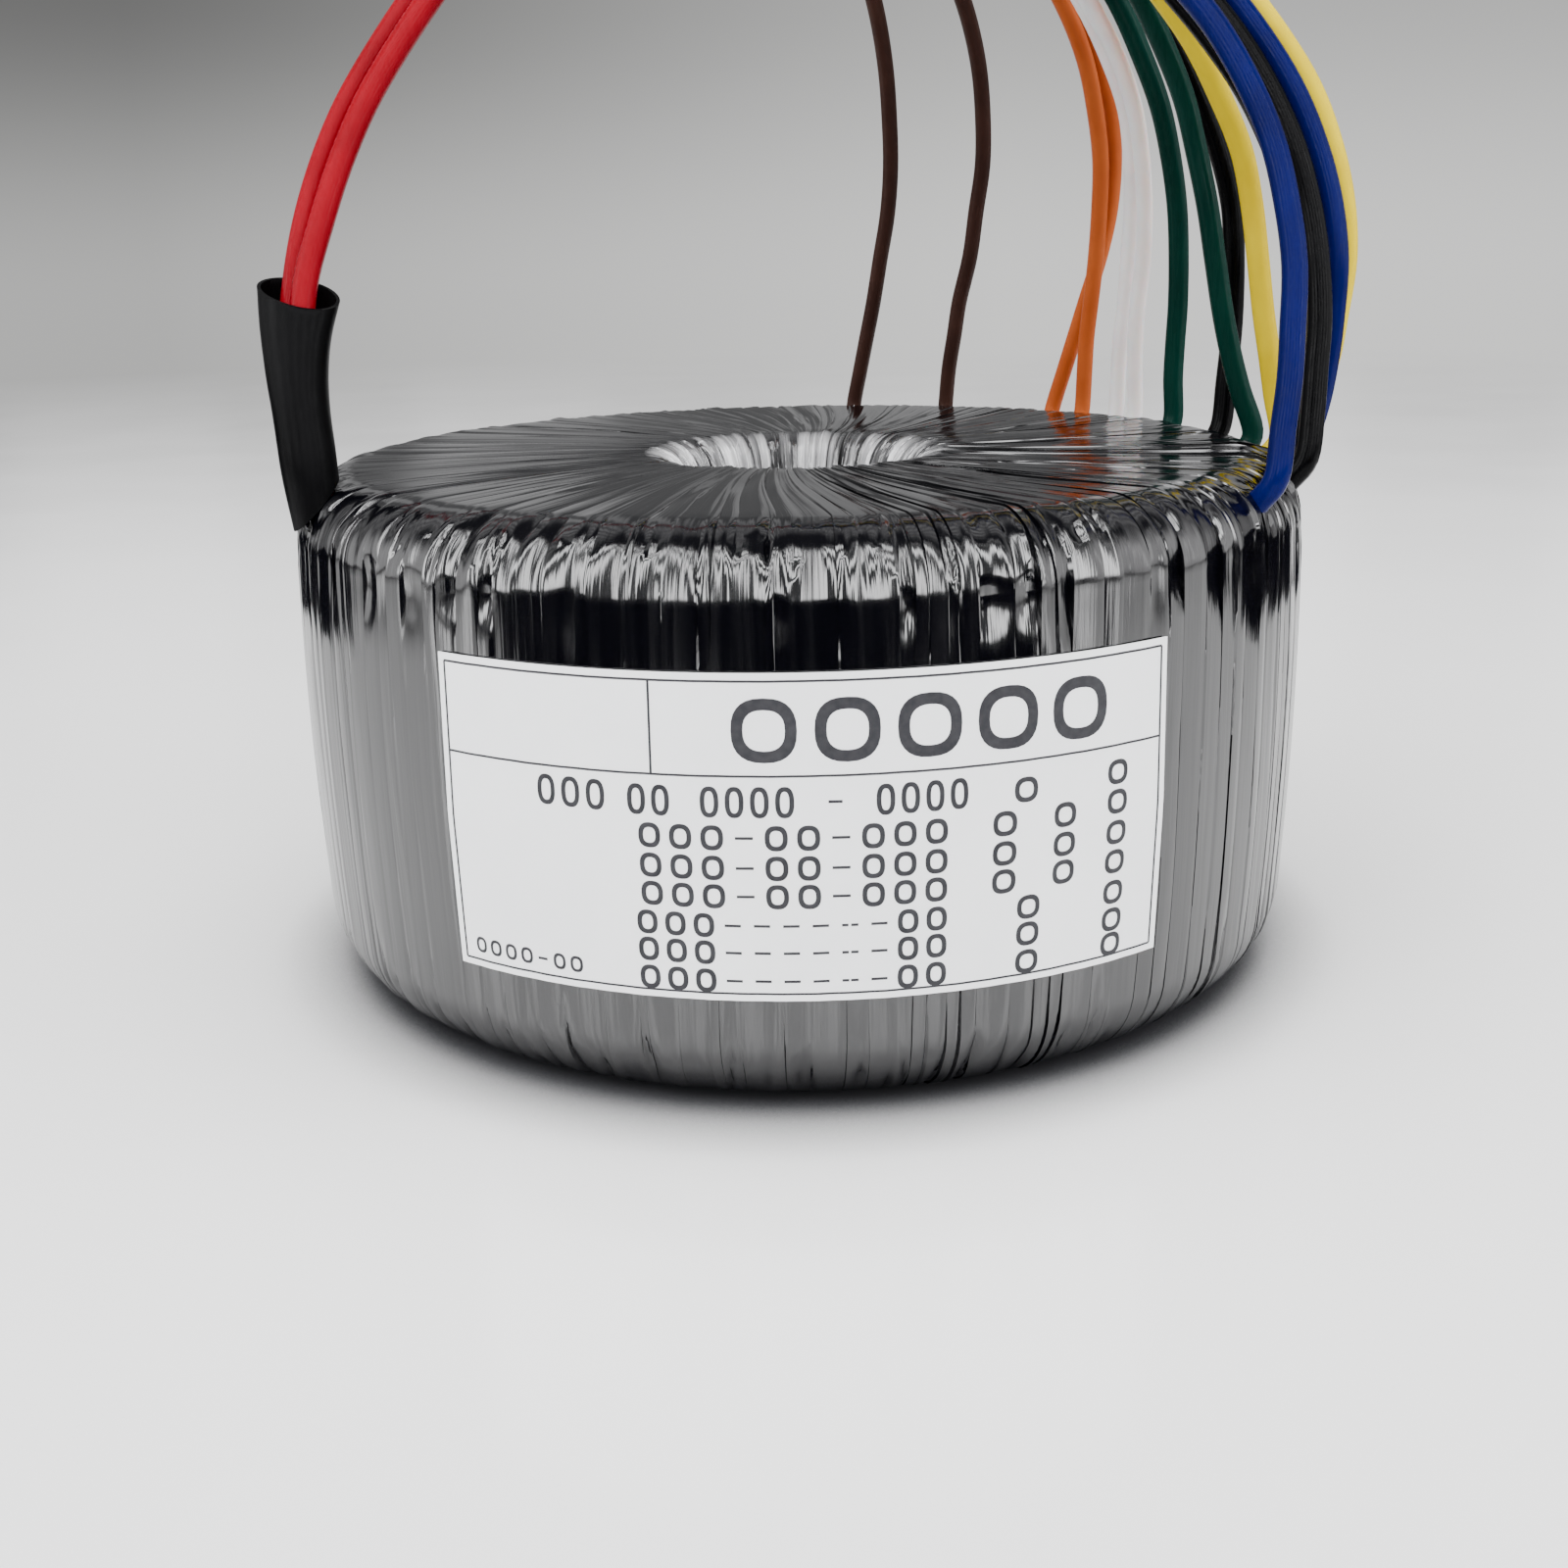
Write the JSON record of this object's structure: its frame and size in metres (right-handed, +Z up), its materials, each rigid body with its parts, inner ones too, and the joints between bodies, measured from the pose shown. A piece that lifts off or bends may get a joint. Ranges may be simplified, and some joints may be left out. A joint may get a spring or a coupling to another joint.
{
  "type": "toroidal transformer",
  "caption": "Toroidal mains transformer wrapped in dark film, with a centre bore, a plain rating label and coloured flying leads gathered above it.",
  "frame": {"origin": "centre of the base, on the axis of the bore, on the plane that the transformer stands on", "axes": "+Z up along the bore's axis; the label faces -Y; +X to the right when facing the label"},
  "size_m": [0.2022, 0.1955, 0.286],
  "materials": {
    "core_steel": "wound grain-oriented steel strip, blue-grey, edges of the turns showing",
    "core_insulation": "moulded insulating cap, off-white, matt",
    "film_clear": "clear amber polyester film, overlapping turns",
    "enamelled_wire": "enamelled copper wire, gloss, turns side by side",
    "film_wrap": "near-black gloss polyester film in overlapping radial turns, puckered at the shoulders",
    "label": "white satin label, thin dark border and plain ruled lines",
    "sleeve": "black heat-shrink sleeve, satin, unshrunk mouth",
    "tie": "natural nylon cable tie",
    "tinned_wire": "twisted and tinned copper strands",
    "lead_red": "smooth PVC insulation, satin gloss",
    "lead_blue": "smooth PVC insulation, satin gloss",
    "lead_black": "smooth PVC insulation, satin gloss",
    "lead_yellow": "smooth PVC insulation with faint dark scuffs",
    "lead_green": "smooth PVC insulation, dark green",
    "lead_white": "smooth PVC insulation, white",
    "lead_orange": "smooth PVC insulation, orange",
    "lead_brown": "smooth PVC insulation, dark brown"
  },
  "bodies": {
    "root": {"core": "core_steel", "core_cap_top": "core_insulation", "core_cap_bottom": "core_insulation", "core_tape": "film_clear", "primary_winding": "enamelled_wire", "primary_film": "film_clear", "secondary_blue": "enamelled_wire", "secondary_blue_film": "film_clear", "secondary_yellow": "enamelled_wire", "secondary_yellow_film": "film_clear", "aux_green_winding": "enamelled_wire", "aux_white_winding": "enamelled_wire", "aux_brown_winding": "enamelled_wire", "aux_orange_winding": "enamelled_wire", "outer_wrap": "film_wrap", "label": "label", "primary_sleeve": "sleeve", "lead_tie": "tie", "wire_ends": "tinned_wire", "lead_red_a": "lead_red", "lead_red_b": "lead_red", "lead_blue_a": "lead_blue", "lead_blue_b": "lead_blue", "lead_black_a": "lead_black", "lead_black_b": "lead_black", "lead_black_c": "lead_black", "lead_yellow_a": "lead_yellow", "lead_yellow_b": "lead_yellow", "lead_green_a": "lead_green", "lead_green_b": "lead_green", "lead_white_a": "lead_white", "lead_white_b": "lead_white", "lead_orange_a": "lead_orange", "lead_orange_b": "lead_orange", "lead_brown_a": "lead_brown", "lead_brown_b": "lead_brown"}
  },
  "joints": []
}
